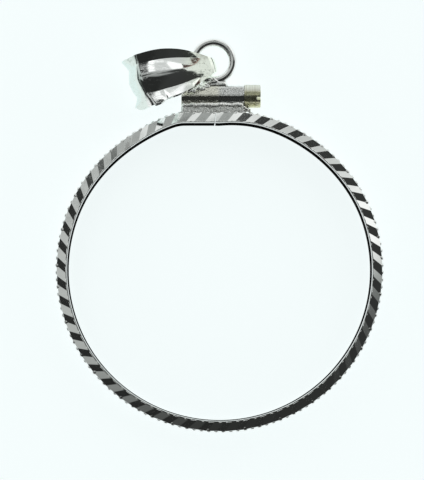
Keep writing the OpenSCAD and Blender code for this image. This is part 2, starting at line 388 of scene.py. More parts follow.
def split_cutter():
    """A thin bent wall that follows the split."""
    cutter = primitive("split_cutter", bpy.ops.mesh.primitive_plane_add, size=1)
    points = points_of(cutter)
    for i, (x, y, _) in enumerate(points.copy()):
        at = 0 if y < 0 else 1
        points[i] = (SPLIT_LINE[at][0] + x * SPLIT_WIDTHS[at], SPLIT_LINE[at][1], -SPLIT_DEEP)
    move_points(cutter, points)
    edit(cutter)
    bpy.ops.mesh.select_mode(type="EDGE")
    object_mode()
    for edge in cutter.data.edges:
        edge.select = all(cutter.data.vertices[v].co.y > RING_R - 1 for v in edge.vertices)
    bpy.ops.object.mode_set(mode="EDIT")
    lean = (SPLIT_LINE[2][0] - SPLIT_LINE[1][0], SPLIT_LINE[2][1] - SPLIT_LINE[1][1], 0)
    bpy.ops.mesh.extrude_edges_move(TRANSFORM_OT_translate={"value": lean})
    narrower = SPLIT_WIDTHS[2] / SPLIT_WIDTHS[1]
    bpy.ops.transform.resize(value=(narrower, 1, 1), center_override=(*SPLIT_LINE[2], 0))
    bpy.ops.mesh.select_mode(type="FACE")
    bpy.ops.mesh.select_all(action="SELECT")
    bpy.ops.mesh.extrude_region_move(TRANSFORM_OT_translate={"value": (0, 0, 2 * SPLIT_DEEP)})
    return close_up(cutter)


def bezel_ring(splitter):
    section = ring_section()
    piece = lattice("bezel_ring", PAIR_COLUMNS, len(section))
    repeat(piece, FACET_PAIRS, 1, use_merge_vertices=True, merge_threshold=0.001)
    points = points_of(piece)
    store_uv(piece, points[:, :2])
    move_points(piece, [band_place(x, *section[round(y)]) for x, y, _ in points])
    close_up(piece)
    cut(piece, splitter)
    return smooth(piece, 30, weighted=True)


REED_LEN, REED_MIDDLE = 2.13, 0.015
REED_HALF_WIDTH, REED_HALF_DEPTH = 0.37, 0.38
REED_CREST = 19.62              # radius of the reeds' middle lines
REED_ENDS = [(0.08, 0.07), (0.14, 0.06)]


def reeded_edge(splitter):
    """Small round reeds along the edge: one is modelled, copied along a straight line and bent round."""
    reed = primitive("reeded_edge", bpy.ops.mesh.primitive_cylinder_add, vertices=14, radius=1,
                     depth=REED_LEN, location=(0, 0, REED_MIDDLE))
    bpy.ops.object.transform_apply(location=True)
    edit(reed, "SELECT")
    bpy.ops.transform.resize(value=(REED_HALF_WIDTH, REED_HALF_DEPTH, 1), center_override=(0, 0, 0))
    pick_faces(reed, lambda centre, normal: abs(normal.z) > 0.9)
    for thickness, depth in REED_ENDS:
        bpy.ops.mesh.inset(thickness=thickness, depth=depth)
    close_up(reed)
    repeat(reed, REEDS, 2 * math.pi * RING_R / REEDS)
    move_points(reed, [(*ring_point(math.degrees(x / RING_R) + 180 / REEDS, REED_CREST + y), z)
                       for x, y, z in points_of(reed)])
    close_up(reed)
    cut(reed, splitter)
    return smooth(reed, 50)


# Barrel, solder and jump ring

BARREL_STEPS, STEP = 76, 0.1
BEVEL_OUT, BEVEL_IN = 0.02, 0.07
# The bar that cuts the barrel's seam: sizes, its middle along X, and how far round from the front
SEAM_BAR, SEAM_BAR_X, SEAM_BAR_TURN = (2.3, 0.09, 0.34), 1.75, -50
LUMP_TILT = 25.0                # how far solder lumps lean back
LUMP_FLAT = 0.42
SOLDER_VOXEL = 0.055


def barrel(splitter):
    left = [(BARREL_LEFT, r) for r in (0, 0.5, 1.0, BARREL_R - BEVEL_IN)]
    profile = left + [(BARREL_LEFT + BEVEL_OUT, BARREL_R - BEVEL_OUT)]
    profile += [(BARREL_LEFT + STEP + STEP * i, BARREL_R) for i in range(BARREL_STEPS)]
    profile += [(BARREL_RIGHT - BEVEL_OUT, BARREL_R - BEVEL_OUT), (BARREL_RIGHT, BARREL_R - BEVEL_IN),
                (BARREL_RIGHT, BORE_R + 0.05), (BARREL_RIGHT - 0.05, BORE_R)]
    profile += [(BORE_LEFT, BORE_R), (BORE_LEFT, 0)]
    piece = turned("barrel", profile, 96, BARREL_Y)
    points = points_of(piece)
    for i, (_, y, z) in enumerate(points):
        if z > 0 and math.hypot(y - BARREL_Y, z) > BORE_R + 0.1:
            points[i, 2] = min(z, barrel_height(BARREL_Y + BARREL_FLAT[0])
                               - (y - BARREL_Y - BARREL_FLAT[0]) * BARREL_SLOPE)
    move_points(piece, points)
    bumpy(piece, 0.22, 0.02)
    cut_once(piece, barrel_seam_cutter())
    cut(piece, splitter)
    return smooth(piece, 40)


def barrel_seam_cutter():
    """A thin bar for the open seam along the barrel's right half."""
    bar = box("seam_cutter", SEAM_BAR)
    turn = math.radians(SEAM_BAR_TURN)
    out = Vector((0, -math.sin(turn), math.cos(turn)))
    place = Vector((SEAM_BAR_X, BARREL_Y, 0)) + out * BARREL_R
    bar.data.transform(Matrix.Translation(place) @ Matrix.Rotation(turn, 4, "X"))
    return bar


def ball(centre, radius):
    piece = primitive("ball", bpy.ops.mesh.primitive_ico_sphere_add, subdivisions=2, radius=radius,
                      location=centre)
    bpy.ops.object.transform_apply(location=True)
    return piece


def lump(centre, radius, width):
    """A flattened drop that faces back over the slope."""
    piece = ball((0, 0, 0), radius)
    face = Matrix.Rotation(math.radians(-LUMP_TILT), 4, "X") @ Matrix.Diagonal((width, 1, LUMP_FLAT, 1))
    piece.data.transform(Matrix.Translation(centre) @ face)
    return piece


def rod(start, end, radius):
    """A short round bar with rounded ends."""
    start, end = Vector(start), Vector(end)
    along = end - start
    piece = primitive("rod", bpy.ops.mesh.primitive_cylinder_add, vertices=24, radius=radius,
                      depth=along.length)
    turn = along.to_track_quat("Z", "Y").to_matrix().to_4x4()
    piece.data.transform(Matrix.Translation((start + end) / 2) @ turn)
    return [piece, ball(start, radius), ball(end, radius)]


def melted(pieces, name, rounds, bumps, splitter):
    """Runs the pieces together as solder does, gives them small bumps and cuts the split through them."""
    piece = join(pieces, name)
    apply_modifier(piece, "REMESH", mode="VOXEL", voxel_size=SOLDER_VOXEL)
    apply_modifier(piece, "SMOOTH", factor=0.5, iterations=rounds)
    bumpy(piece, *bumps)
    cut(piece, splitter)
    return smooth(piece, 60)


# Single lumps, as places and radii
SEAM_ENDS = [(2.95, 19.83, 0.5, 0.42), (3.3, 19.62, 0.45, 0.34), (3.65, 19.5, 0.4, 0.25),
             (-4.4, 19.75, 0.45, 0.4), (-4.45, 19.45, 0.5, 0.33)]
MOUND_LUMPS = [(-3.7, 22.25, 0.4, 0.4), (-2.85, 22.42, 0.35, 0.4), (-2.0, 22.55, 0.3, 0.45),
               (-1.9, 22.95, 0.35, 0.24), (-0.75, 23.45, 0.5, 0.16), (-0.98, 23.3, 0.55, 0.17)]
SEAM_SIZE, SEAM_X, SEAM_Y, SEAM_NARROWS = (7.5, 1.6, 2.0), -0.82, 19.7, 0.85
LUMP_RADII, LUMP_WIDTHS, LUMP_SPACING = (0.28, 0.36), (0.7, 1.4), (0.8, 1.7)
LUMPS_Y, FRONT_LUMPS_Z, BACK_LUMPS_Z = 20.2, 1.06, -0.98
MOUND_RODS = [((-1.25, 22.76, 0.02), (0.5, 22.72, 0.05), 0.55), ((-1.0, 23.0, 0.1), (-0.5, 23.1, 0.12), 0.5)]
CRUMBS, CRUMB_RADII = 84, (0.09, 0.22)


def solder_web():
    """The solder's body between the ring's flat top and the barrel, thinner at the barrel."""
    web = box("solder_seam", SEAM_SIZE)
    edit(web, "SELECT")
    bpy.ops.transform.translate(value=(SEAM_X, SEAM_Y, 0))
    pick_faces(web, lambda centre, normal: normal.y > 0.9)
    bpy.ops.transform.resize(value=(1, 1, SEAM_NARROWS), center_override=(SEAM_X, 20.5, 0))
    object_mode()
    return web


def solder_seam(splitter):
    """Solder between the ring and the barrel, with the lumps that stand out in front."""
    parts = [solder_web()]
    dice = random.Random(7)
    x = BARREL_LEFT + 0.35
    while x < BARREL_RIGHT - 0.3:
        radius = dice.uniform(*LUMP_RADII)
        y = LUMPS_Y + dice.uniform(-0.05, 0.05)
        z = FRONT_LUMPS_Z + dice.uniform(-0.05, 0.04)
        parts.append(lump((x, y, z), radius, dice.uniform(*LUMP_WIDTHS)))
        parts.append(ball((x + 0.1, y + 0.03, BACK_LUMPS_Z + radius * 0.6), radius * 0.9))
        x += radius * dice.uniform(*LUMP_SPACING)
    parts += [ball((x, y, z), radius) for x, y, z, radius in SEAM_ENDS]
    return melted(parts, "solder_seam", 1, (0.22, 0.05), splitter)


def barrel_height(y):
    reach = BARREL_R ** 2 - (y - BARREL_Y) ** 2
    return math.sqrt(max(reach, 0.0))


def solder_mound(splitter):
    """The smooth mound under the jump ring, and the crumbs that climb to it over the barrel."""
    parts = [piece for bar in MOUND_RODS for piece in rod(*bar)]
    dice = random.Random(21)
    for _ in range(CRUMBS):
        share = dice.random()
        x = -3.85 + 3.2 * share
        y = dice.uniform(21.75 + 0.55 * share, 22.2 + 1.15 * share)
        radius = dice.uniform(*CRUMB_RADII) * (1.15 - 0.4 * share)
        if y > BARREL_Y + BARREL_R - 0.12:
            z = dice.uniform(0.25, 0.62)
        else:
            z = barrel_height(y) + dice.uniform(-0.06, 0.05)
        parts.append(ball((x, y, z), radius))
    parts += [ball((x, y, z), radius) for x, y, z, radius in MOUND_LUMPS]
    return melted(parts, "solder_mound", 2, (0.12, 0.03), splitter)


def jump_ring():
    piece = primitive("jump_ring", bpy.ops.mesh.primitive_circle_add, vertices=32, radius=WIRE_R,
                      location=(JUMP_X + JUMP_R, JUMP_Y, 0), rotation=(math.radians(90), 0, 0))
    bpy.ops.object.transform_apply(location=True, rotation=True)
    edit(piece, "SELECT")
    bpy.ops.mesh.spin(steps=128, angle=2 * math.pi, center=(JUMP_X, JUMP_Y, 0), axis=(0, 0, 1))
    close_up(piece)
    bumpy(piece, 0.9, 0.02)
    return smooth(piece, 60)


# Screw

HEAD_EDGE, LINE_DEPTH = 0.08, 0.018
THREAD_FADE = 0.2               # how far the thread runs on past its length
THREAD_END = SHANK_LEFT + THREAD_LEN + THREAD_FADE
THREAD_FLANK = 0.36             # half the thread's groove, as a share of its pitch


def screw_head():
    """The head, with fine turned lines round it and a slot in its end."""
    rows = 26
    length = HEAD_RIGHT - HEAD_LEFT
    profile = [(HEAD_LEFT, 0), (HEAD_LEFT, SHANK_R), (HEAD_LEFT, HEAD_R - HEAD_EDGE),
               (HEAD_LEFT + 0.03, HEAD_R - 0.02)]
    for i in range(rows):
        x = HEAD_LEFT + HEAD_EDGE + (length - 2 * HEAD_EDGE) * i / (rows - 1)
        profile.append((x, HEAD_R - (LINE_DEPTH if i % 2 else 0)))
    profile += [(HEAD_RIGHT - 0.03, HEAD_R - 0.03), (HEAD_RIGHT, HEAD_R - 0.1), (HEAD_RIGHT, 0.6),
                (HEAD_RIGHT, 0)]
    head = turned("screw_head", profile, 72, BARREL_Y)
    slot = box("slot_cutter", (2 * SLOT_D, SLOT_W, 4 * HEAD_R))
    turn = Matrix.Rotation(math.radians(SLOT_TURN), 4, "X")
    slot.data.transform(Matrix.Translation((HEAD_RIGHT, BARREL_Y, 0)) @ turn)
    cut_once(head, slot)
    return smooth(head, 30, weighted=True)


def screw_shank():
    """The shank, with its thread wound round the left half."""
    rows = 150
    end = HEAD_LEFT + 0.05
    profile = [(SHANK_LEFT, 0), (SHANK_LEFT, SHANK_R - 0.16), (SHANK_LEFT + 0.08, SHANK_R - 0.05)]
    for i in range(rows):
        profile.append((SHANK_LEFT + 0.12 + (end - SHANK_LEFT - 0.12) * i / (rows - 1), SHANK_R))
    profile.append((end, 0))
    piece = turned("screw_shank", profile, 40, BARREL_Y)
    points = points_of(piece)
    for i, (x, y, off_z) in enumerate(points):
        off_y = y - BARREL_Y
        radius = math.hypot(off_y, off_z)
        if radius < SHANK_R - 0.01 or x > THREAD_END:
            continue
        turn = math.atan2(off_z, off_y) / (2 * math.pi)
        phase = ((x - SHANK_LEFT) / THREAD_PITCH - turn) % 1
        fade = min(1, (THREAD_END - x) / 0.3)
        depth = THREAD_D * fade * max(0, 1 - abs(phase - 0.5) / THREAD_FLANK)
        points[i, 1] = BARREL_Y + off_y * (radius - depth) / radius
        points[i, 2] = off_z * (radius - depth) / radius
    move_points(piece, points)
    return smooth(piece, 40)


# Bail

LEAF_ANGLE = math.degrees(math.asin((FOLD_R - TIP_R) / (BAIL_LEN - FOLD_R - TIP_R)))
BACK_ANGLE = 90 + LEAF_ANGLE
# In front the leaf meets the fold at a soft crease: its place, and the fold's rounder radius beyond it
FOLD_CREASE = np.array((9.9, 1.94))
FOLD_FRONT_R = 2.4


def round_station(centre, radius, angle):
    return np.array(on_arc((centre, 0), radius, angle))


def arc(centre, radius, first, last, count):
    return [round_station(centre, radius, angle) for angle in np.linspace(first, last, count, endpoint=False)]


def leaf_points(start, end):
    along = end - start
    out = np.array((-along[1], along[0])) / np.linalg.norm(along)
    shares = np.linspace(0, 1, 90, endpoint=False)
    return [start + along * f + out * LEAF_BULGE * 4 * f * (1 - f) for f in shares]


def bail_path():
    """The closed loop of the bail seen from its side, evenly spaced, with its outward normals."""
    fold_end = BAIL_LEN - FOLD_R
    reach = FOLD_CREASE - np.array((TIP_R, 0))
    front_angle = math.degrees(math.atan2(reach[1], reach[0]) + math.acos(TIP_R / np.linalg.norm(reach)))
    crease_angle = math.degrees(math.acos((FOLD_CREASE[0] - BAIL_LEN + FOLD_FRONT_R) / FOLD_FRONT_R))
    path = arc(TIP_R, TIP_R, 360 - BACK_ANGLE, front_angle, 60)
    path += leaf_points(path[-1], FOLD_CREASE)
    path += arc(BAIL_LEN - FOLD_FRONT_R, FOLD_FRONT_R, crease_angle, 0, 40)
    path += arc(fold_end, FOLD_R, 0, -BACK_ANGLE, 60)
    path += leaf_points(*[round_station(centre, radius, -BACK_ANGLE)
                          for centre, radius in ((fold_end, FOLD_R), (TIP_R, TIP_R))])
    return evenly(np.array(path))


def relaxed(values, rounds):
    """Eases a closed row of values towards their neighbours."""
    for _ in range(rounds):
        values = values + 0.5 * ((np.roll(values, 1, 0) + np.roll(values, -1, 0)) / 2 - values)
    return values


def evenly(path):
    """Spaces a closed line's points evenly and eases its corners."""
    loop = np.vstack([path, path[:1]])
    run = np.concatenate([[0], np.cumsum(np.linalg.norm(np.diff(loop, axis=0), axis=1))])
    at = np.linspace(0, run[-1], BAIL_STEPS, endpoint=False)
    line = relaxed(np.stack([np.interp(at, run, loop[:, k]) for k in (0, 1)], axis=1), 5)
    along = np.roll(line, -1, 0) - np.roll(line, 1, 0)
    along /= np.linalg.norm(along, axis=1)[:, None]
    normal = np.stack([-along[:, 1], along[:, 0]], axis=1)
    return line, normal


def half_width(t, side):
    front, back = from_table(BAIL_WIDTHS, t, 1), from_table(BAIL_WIDTHS, t, 2)
    share = (1 + max(-1, min(1, side * 1.5))) / 2
    return back + (front - back) * share


def bail_rise(place, t):
    """Height of the pressed form over the loop: a dome between two creases, and flanges that flare up."""
    reach = abs(place)
    crisp = eased(t, *CRISP)
    swell = math.hypot(min(reach, CREASE), DOME_TOP) / math.hypot(CREASE, DOME_TOP)
    dome = DOME_H * (1 - swell ** DOME_FULLNESS)
    spread = FLARE_END + (FLARE_MIDDLE - FLARE_END) * max(0.0, 1 - ((t - FLARE_AT) / FLARE_REACH) ** 2)
    if place > 0 and t > FLARE_AT:
        spread = FLARE_MIDDLE
    flange = spread * max(0.0, (reach - CREASE) / (1 - CREASE)) ** 1.1
    soft = 0.16 * (1 - reach ** 2) + 0.1 * reach ** 2
    return (dome + flange) * crisp + soft * (1 - crisp)


def corner_draw(t, height, place, side):
    """How far a point next to the fold is moved: along the bail, across it and down."""
    crease, end = from_table(FOLD_DRAW, place, 1), from_table(FOLD_DRAW, place, 2)
    if side < 0:
        return end * eased(t, 7, BAIL_LEN), 0, 0
    past = min(max((t - FOLD_CREASE[0]) / (BAIL_LEN - FOLD_CREASE[0]), 0), 1)
    along = crease * eased(t, 6.5, 9.5) + (end - crease) * past
    slope_to = FOLD_CREASE[1] - FOLD_DROP * (t + along - FOLD_CREASE[0] - crease)
    sink = 0
    if past > 0:
        sink = max(0, height - slope_to) * eased(abs(place), 0.45, 0.85) * eased(side, 0, 0.3)
    wider = LOW_WIDER * eased(place, 0.35, 1) * eased(t, 6.5, 10.3) * eased(side, 0, 0.5)
    return along, wider, sink


# Places across the bail, from one edge to the other
BAIL_ROWS = [-1, -0.93, -0.86, -0.79, -0.72, -0.665, -0.63, -0.61, -0.59, -0.55, -0.48, -0.4, -0.3, -0.2,
             -0.1]
BAIL_ROWS = BAIL_ROWS + [0] + [-row for row in reversed(BAIL_ROWS)]


def bail_band():
    """The bail's outer surface, laid round its loop."""
    line, normal = bail_path()
    widths = relaxed(np.array([half_width(t, n[1]) for (t, _), n in zip(line, normal)]), 60)
    piece = lattice("bail_band", list(range(BAIL_STEPS + 1)), len(BAIL_ROWS))
    placed = []
    uv = []
    for x, y, _ in points_of(piece):
        i = round(x) % BAIL_STEPS
        place = BAIL_ROWS[round(y)]
        t, height = line[i]
        out, up = normal[i]
        half = widths[i]
        rise = bail_rise(place, t) * (1 if up > 0 else half / 3)
        along, aside, sink = corner_draw(t, height, place, up)
        lift = LOW_LIFT * eased(place, 0.5, 0.8) * min(max((t - 7.4) / 2.5, 0), 1) * eased(up, 0, 0.5)
        level = height + rise * up - sink + lift
        placed.append((t + along + rise * out, place * half + aside, level))
        uv.append((x / 10, place * half / 3))
    store_uv(piece, uv)
    move_points(piece, placed)
    return close_up(piece)


def bail():
    piece = bail_band()
    apply_modifier(piece, "SOLIDIFY", thickness=BAIL_TH, offset=-1, use_even_offset=True)
    apply_modifier(piece, "BEVEL", width=BAIL_EDGE, segments=5, limit_method="ANGLE",
                   angle_limit=math.radians(60))
    pitch = Matrix.Rotation(math.radians(-BAIL_PITCH), 4, "Y")
    turn = pitch @ Matrix.Rotation(math.radians(BAIL_ROLL), 4, "X")
    about_wire = Matrix.Translation((WIRE_T, 0, 0)) @ turn @ Matrix.Translation((-WIRE_T, 0, 0))
    lay = Matrix.Rotation(math.radians(180 + BAIL_DROOP), 4, "Z")
    piece.data.transform(Matrix.Translation((*BAIL_TIP, 0)) @ lay @ about_wire)
    return smooth(piece, 24, weighted=True)


# Materials

def node(kind, sockets=None, tree=None, **settings):
    """Adds a node to a tree, or to that of the outputs which its sockets take, and gives its outputs."""
    sockets = sockets or {}
    linked = {key: value for key, value in sockets.items() if isinstance(value, bpy.types.NodeSocket)}
    tree = tree or next(iter(linked.values())).id_data
    made = tree.nodes.new(kind)
    for key, value in settings.items():
        setattr(made, key, value)
    for key, value in sockets.items():
        if key in linked:
            tree.links.new(value, made.inputs[key])
        else:
            made.inputs[key].default_value = value
    return made.outputs


def new_material(name):
    material = bpy.data.materials.new(name)
    material.use_nodes = True
    tree = material.node_tree
    return material, tree, tree.nodes["Principled BSDF"]


def math_node(operation, first, second=0.0):
    return node("ShaderNodeMath", {0: first, 1: second}, operation=operation)[0]


def times(first, second):
    return math_node("MULTIPLY", first, second)


def plus(first, second):
    return math_node("ADD", first, second)


def minus(first, second):
    return math_node("SUBTRACT", first, second)


def ramp(value, low, high, start=0.0, end=1.0, kind="SMOOTHSTEP"):
    """A step of value from start to end, between low and high."""
    sockets = {"Value": value, "From Min": low, "From Max": high, "To Min": start, "To Max": end}
    return node("ShaderNodeMapRange", sockets, interpolation_type=kind)[0]


def between(value, low, high, soft):
    """1 between low and high, with soft edges."""
    rise = ramp(value, low - soft / 2, low + soft / 2)
    fall = ramp(value, high - soft / 2, high + soft / 2, 1, 0)
    return times(rise, fall)


def mixed(share, first, second):
    """Colour between two, by a mask."""
    return node("ShaderNodeMix", {0: share, 6: first, 7: second}, data_type="RGBA")[2]


def largest(*values):
    result = values[0]
    for value in values[1:]:
        result = math_node("MAXIMUM", result, value)
    return result


def noise(place, scale, detail=2.0, stretch=None, turn=0.0):
    if stretch:
        sockets = {"Vector": place, "Scale": stretch, "Rotation": (0, 0, math.radians(turn))}
        place = node("ShaderNodeMapping", sockets)[0]
    return node("ShaderNodeTexNoise", {"Vector": place, "Scale": scale, "Detail": detail})[0]


def axes_of(place):
    return node("ShaderNodeSeparateXYZ", {0: place})


def distance(place, point):
    return node("ShaderNodeVectorMath", {0: place, 1: point}, operation="DISTANCE")[1]


def metal(name):
    """A new material, with the place on the object in millimetres."""
    material, tree, _ = new_material(name)
    place = node("ShaderNodeTexCoord", tree=tree)["Object"]
    return material, node("ShaderNodeVectorMath", {0: place, "Scale": 1 / MM}, operation="SCALE")[0]


def new_group(name, inputs, *outputs):
    """An empty effect. Its inputs are numbers with their usual values, or None for a place."""
    tree = bpy.data.node_groups.new(name, "ShaderNodeTree")
    for label, value in inputs.items():
        kind = "NodeSocketVector" if value is None else "NodeSocketFloat"
        socket = tree.interface.new_socket(label, in_out="INPUT", socket_type=kind)
        if value is not None:
            socket.default_value = value
    for label in outputs:
        tree.interface.new_socket(label, in_out="OUTPUT", socket_type="NodeSocketFloat")
    given = list(tree.nodes.new("NodeGroupInput").outputs)[:len(inputs)]
    return tree, given, tree.nodes.new("NodeGroupOutput").inputs


def effect(name, place, **sockets):
    """A shared effect at a place, as its outputs."""
    group = bpy.data.node_groups[name]
    return node("ShaderNodeGroup", {"Place": place, **sockets}, node_tree=group)


def mask(name, place, **sockets):
    return effect(name, place, **sockets)["Mask"]


def turning_marks(along, per_mm):
    group = bpy.data.node_groups["turning_marks"]
    return node("ShaderNodeGroup", {"Along": along, "Per Mm": per_mm}, node_tree=group)["Height"]


def scratch_group():
    """Fine straight scratches that cross each other, more of them where a cloudy mask says so."""
    tree, given, out = new_group("fine_scratches", {"Place": None, "Amount": 0.5}, "Mask")
    place, amount = given
    lines = []
    for turn, spacing in [(17, 26), (71, 34), (-38, 22), (118, 30)]:
        streaks = noise(place, 1.0, 1.0, stretch=(0.5, spacing, 0.5), turn=turn)
        lines.append(ramp(streaks, 0.64, 0.72))
    where = ramp(noise(place, 0.9), 0.35, 0.65, 0.25, 1)
    tree.links.new(times(times(largest(*lines), where), amount), out["Mask"])


def hollow_group():
    """Dirt that settles in corners and hollows."""
    tree, given, out = new_group("hollow_dirt", {"Place": None, "Reach": 0.3, "Amount": 1.0}, "Mask")
    place, reach, amount = given
    reach = times(reach, MM)
    open_share = node("ShaderNodeAmbientOcclusion", {"Distance": reach}, samples=6)["AO"]
    hollow = ramp(open_share, 0.85, 0.3)
    uneven = ramp(noise(place, 4.0, 4.0), 0.3, 0.6, 0.45, 1)
    dirt_and_shade = times(times(hollow, uneven), amount)
    tree.links.new(math_node("MINIMUM", dirt_and_shade, 1), out["Mask"])


def stain_group():
    """Blotches of tarnish with soft and speckled borders."""
    tree, given, out = new_group("tarnish_blotches", {"Place": None, "Scale": 1.0, "Cover": 0.4}, "Mask")
    place, scale, cover = given
    cloud = noise(place, scale, 4.0)
    speckle = noise(place, times(scale, 7), 2.0)
    both = plus(cloud, times(minus(speckle, 0.5), 0.5))
    limit = minus(0.85, times(cover, 0.55))
    tree.links.new(ramp(minus(both, limit), -0.07, 0.07), out["Mask"])


def grain_group():
    """Sandy cast grain: rounded crumbs with pits between them."""
    tree, given, out = new_group("cast_grain", {"Place": None, "Size": 0.12}, "Height", "Pits")
    place, size = given
    scale = math_node("DIVIDE", 1, size)
    crumbs = node("ShaderNodeTexVoronoi", {"Vector": place, "Scale": scale}, feature="SMOOTH_F1")
    fine = noise(place, times(scale, 1.7), 3.0)
    height = minus(fine, times(crumbs["Distance"], 0.8))
    tree.links.new(height, out["Height"])
    tree.links.new(ramp(height, 0.12, -0.08), out["Pits"])


def turning_group():
    """Fine uneven lines left by a lathe or a die, across the given direction."""
    tree, given, out = new_group("turning_marks", {"Along": 0.0, "Per Mm": 6.0}, "Height")
    along, per_mm = given
    along = times(along, per_mm)
    place = node("ShaderNodeCombineXYZ", {0: along})[0]
    tree.links.new(noise(place, 1.0, 3.0), out["Height"])


def finish(material, color, roughness, height, depth, metallic=1):
    """Gives the material its changing colour, roughness and relief."""
    tree = material.node_tree
    shader = tree.nodes["Principled BSDF"]
    tree.links.new(color, shader.inputs["Base Color"])
    tree.links.new(roughness, shader.inputs["Roughness"])
    relief = node("ShaderNodeBump", {"Height": height, "Distance": depth * MM}, tree)
    tree.links.new(relief[0], shader.inputs["Normal"])
    if metallic == 1:
        shader.inputs["Metallic"].default_value = 1
    else:
        tree.links.new(metallic, shader.inputs["Metallic"])
    return material


SILVER, GREY_SILVER = (0.92, 0.925, 0.915, 1), (0.55, 0.55, 0.53, 1)
YELLOWED, POLISHED = (0.95, 0.92, 0.76, 1), (0.94, 0.945, 0.94, 1)
SOLDER, STAINED_SOLDER = (0.97, 0.97, 0.95, 1), (0.62, 0.6, 0.52, 1)
# The fold's and the tip's pale tints are painted reflection of the bright surroundings
FOLD_REFLECTION_TINT, TIP_REFLECTION_TINT, RUBBED = (0.74, 0.85, 0.81, 1), (0.9, 0.95, 0.84, 1), (0.7, 0.76, 0.68, 1)
GILDING, WORN_GILDING, GREY_LINES = (0.86, 0.85, 0.56, 1), (0.8, 0.82, 0.76, 1), (0.4, 0.36, 0.26, 1)
# The darkest colour serves for dirt and also as painted shade in the ring's channel and along its lip
TARNISH, DIRT_AND_SHADE = (0.16, 0.155, 0.14, 1), (0.02, 0.02, 0.018, 1)
# Rows of the ring's section, counted as in ring_section: the lip's edge under its painted shade line, the
# outer side, the channel painted black as shade
LIP_ROWS, SIDE_ROWS, CHANNEL_ROW = (0.95, 0.75), (10.6, 11.4), 22.6
# Places of the tarnish on the ring and of the round mark on the bail, and the way along the bail to its fold
TARNISHED_AT, SWIRL_AT, TO_FOLD = (-13.2, 13.6, 1.5), (-9.1, 23.4, 0), (-0.972, -0.235, 0)


def ring_silver():
    """Cut facets, bright with fine cutting lines; painted black shade inside the channel and along the lip's
    inner edge; tarnished on the upper left.
    """
    material, place = metal("cut_silver")
    across, row, _ = axes_of(node("ShaderNodeUVMap", tree=material.node_tree, uv_map="UVMap")[0])
    scratches = mask("fine_scratches", place, Amount=0.5)
    near = ramp(distance(place, TARNISHED_AT), 5.5, 2.5)
    blotches = mask("tarnish_blotches", place, Scale=1.6, Cover=0.5)
    narrow = ramp(math_node("FRACT", across), WIDE_SHARE - 0.02, WIDE_SHARE + 0.02, 0.1, 1)
    stains = times(times(near, blotches), narrow)
    cuts_at = node("ShaderNodeCombineXYZ", {0: times(across, 38), 1: row})[0]
    cuts = noise(cuts_at, 1.0, 2.0, stretch=(1, 0.35, 1))
    # Painted shade: black over the channel and a dark line low on the lip's inner wall, joined by dirt in the
    # outer side's hollows
    channel = ramp(row, CHANNEL_ROW, CHANNEL_ROW + 0.3)
    lip = times(ramp(row, *LIP_ROWS), 0.85)
    hollow = mask("hollow_dirt", place, Reach=0.35, Amount=0.9)
    hollow = times(hollow, ramp(row, *SIDE_ROWS))
    dirt_and_shade = largest(channel, lip, hollow)
    color = mixed(ramp(cuts, 0.3, 0.75, 0, 0.16), SILVER, GREY_SILVER)
    color = mixed(times(stains, 0.5), color, TARNISH)
    color = mixed(dirt_and_shade, color, DIRT_AND_SHADE)
    rough = ramp(cuts, 0.3, 0.7, 0.05, 0.09)
    rough = plus(rough, times(scratches, 0.12))
    rough = plus(rough, times(largest(stains, dirt_and_shade), 0.25))
    height = plus(cuts, times(stains, 0.6))
    height = minus(height, times(scratches, 0.5))
    return finish(material, color, rough, height, 0.0012, metallic=ramp(dirt_and_shade, 0.3, 1, 1, 0.2))


def reed_silver():
    """The rougher reeds, with dirt between them."""
    material, place = metal("reeded_silver")
    hollow = mask("hollow_dirt", place, Reach=0.5, Amount=1.0)
    blotches = mask("tarnish_blotches", place, Scale=1.4, Cover=0.42)
    grain = effect("cast_grain", place, Size=0.1)
    worn = mixed(times(blotches, 0.6), SILVER, GREY_SILVER)
    color = mixed(hollow, worn, DIRT_AND_SHADE)
    rough = ramp(largest(hollow, blotches), 0, 1, 0.18, 0.42)
    return finish(material, color, rough, grain["Height"], 0.006)


def sandy_silver():
    """The barrel's sandy skin, yellower on the left, turned finer on the right, with pits and crumbs."""
    material, place = metal("sandy_silver")
    x = axes_of(place)[0]
    grain = effect("cast_grain", place, Size=0.13)
    turning = turning_marks(x, 7.0)
    stains = mask("tarnish_blotches", place, Scale=1.6, Cover=0.5)
    left = ramp(plus(x, noise(place, 1.5)), 0.9, 0.0)
    worn = mixed(times(left, 0.6), SILVER, YELLOWED)
    worn = mixed(times(stains, 0.2), worn, GREY_SILVER)
    color = mixed(times(grain["Pits"], 0.45), worn, DIRT_AND_SHADE)
    rough = ramp(grain["Pits"], 0, 1, 0.12, 0.3)
    sandy = times(grain["Height"], ramp(left, 0, 1, 0.45, 1.0))
    height = plus(sandy, times(turning, 0.55))
    return finish(material, color, rough, height, 0.015)


def solder_silver():
    """Solder: bright melted tops, rough dark hollows."""
    material, place = metal("melted_solder")
    hollow = mask("hollow_dirt", place, Reach=0.2, Amount=0.7)
    stains = mask("tarnish_blotches", place, Scale=2.4, Cover=0.45)
    grain = effect("cast_grain", place, Size=0.3)
    worn = mixed(times(stains, 0.4), SOLDER, STAINED_SOLDER)
    color = mixed(hollow, worn, DIRT_AND_SHADE)
    rough = ramp(largest(hollow, stains), 0, 1, 0.14, 0.4)
    return finish(material, color, rough, grain["Height"], 0.03)


def wire_silver():
    """Drawn wire: fine marks round it and a little tarnish."""
    material, place = metal("drawn_wire")
    scratches = mask("fine_scratches", place, Amount=0.6)
    stains = mask("tarnish_blotches", place, Scale=0.9, Cover=0.35)
    color = mixed(times(stains, 0.35), SILVER, GREY_SILVER)
    rough = ramp(largest(scratches, stains), 0, 1, 0.16, 0.3)
    height = minus(noise(place, 2.5), times(scratches, 0.4))
    return finish(material, color, rough, height, 0.002)


